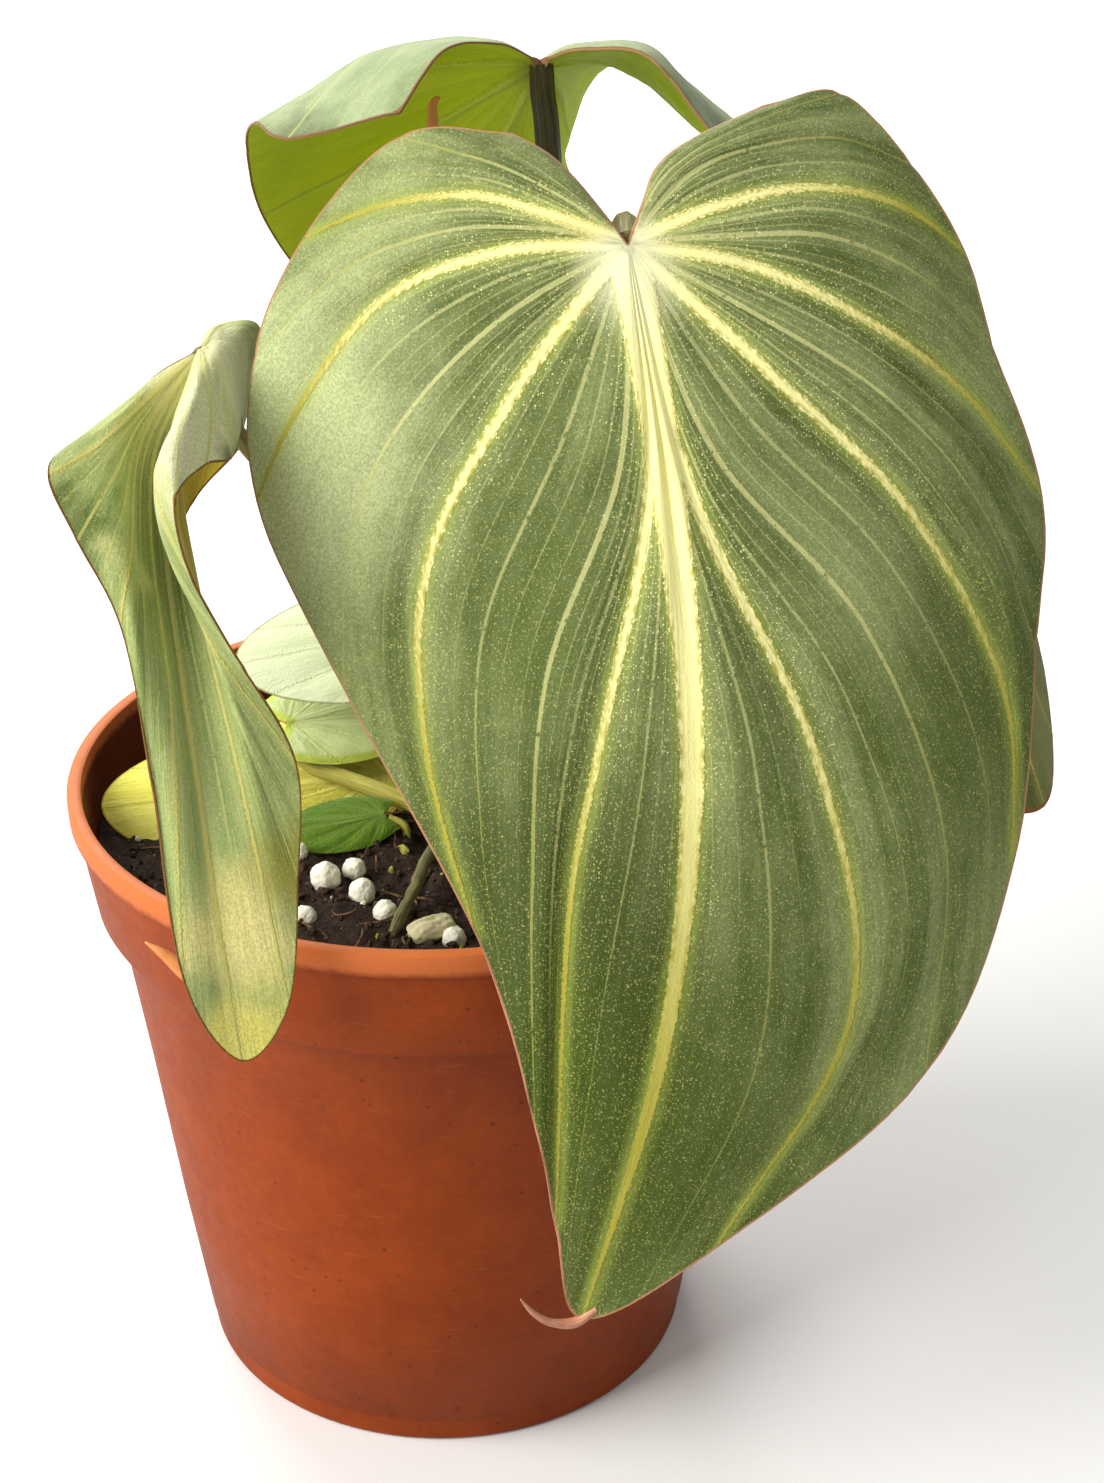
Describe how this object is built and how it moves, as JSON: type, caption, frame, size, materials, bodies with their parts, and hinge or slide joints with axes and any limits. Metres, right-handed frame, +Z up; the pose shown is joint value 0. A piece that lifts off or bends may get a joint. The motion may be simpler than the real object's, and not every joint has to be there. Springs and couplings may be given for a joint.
{
  "type": "potted philodendron gloriosum",
  "caption": "Creeping aroid with large hanging heart-shaped velvet leaves and pale veins, growing in a round terracotta-coloured plastic nursery pot filled with soil.",
  "frame": {"origin": "centre of the pot's flat underside", "axes": "+Z up along the pot's axis; the large front leaf faces -Y"},
  "size_m": [0.1645, 0.1879, 0.2227],
  "materials": {
    "pot_plastic": "satin terracotta-coloured moulded plastic with fine scratches",
    "potting_soil": "loose dark peat with fibres",
    "rhizome_skin": "dull brown-green stem skin with leaf scars",
    "petiole_olive": "smooth olive stalk, faintly fluted",
    "petiole_dark": "dark brown-green stalk with paler flutes",
    "petiole_yellow": "smooth yellow-green stalk",
    "new_leaf_skin": "thin rolled leaf, orange at its tip",
    "leaf_velvet": "velvety dark green with pale cream veins and a pink edge",
    "leaf_underside": "smooth bright green underside, velvety grey-green above",
    "leaf_olive": "yellowing olive blade with pale veins",
    "leaf_pale": "pale green velvety blade with a yellow-green rim",
    "leaf_young_green": "soft mid-green young blade",
    "leaf_yellow": "dying yellow blade",
    "scale_red": "dark red scale leaf",
    "bark": "pale weathered bark",
    "perlite": "chalky white grain"
  },
  "bodies": {
    "root": {"pot": "pot_plastic", "soil": "potting_soil", "rhizome": "rhizome_skin", "petiole_front": "petiole_olive", "petiole_rear": "petiole_dark", "petiole_left": "petiole_olive", "petiole_right": "petiole_olive", "petiole_mid": "petiole_olive", "petiole_low": "petiole_yellow", "petiole_young": "petiole_yellow", "petiole_old": "petiole_yellow", "new_leaf": "new_leaf_skin", "leaf_front": "leaf_velvet", "leaf_rear": "leaf_underside", "leaf_left": "leaf_olive", "leaf_right": "leaf_olive", "leaf_mid": "leaf_pale", "leaf_low": "leaf_pale", "leaf_young": "leaf_young_green", "leaf_old": "leaf_yellow", "root_stub": "rhizome_skin", "scale_leaf": "scale_red", "bark_chip": "bark", "perlite_01": "perlite", "perlite_02": "perlite", "perlite_03": "perlite", "perlite_04": "perlite", "perlite_05": "perlite", "perlite_06": "perlite", "perlite_07": "perlite", "perlite_08": "perlite", "perlite_09": "perlite", "perlite_10": "perlite"}
  },
  "joints": []
}
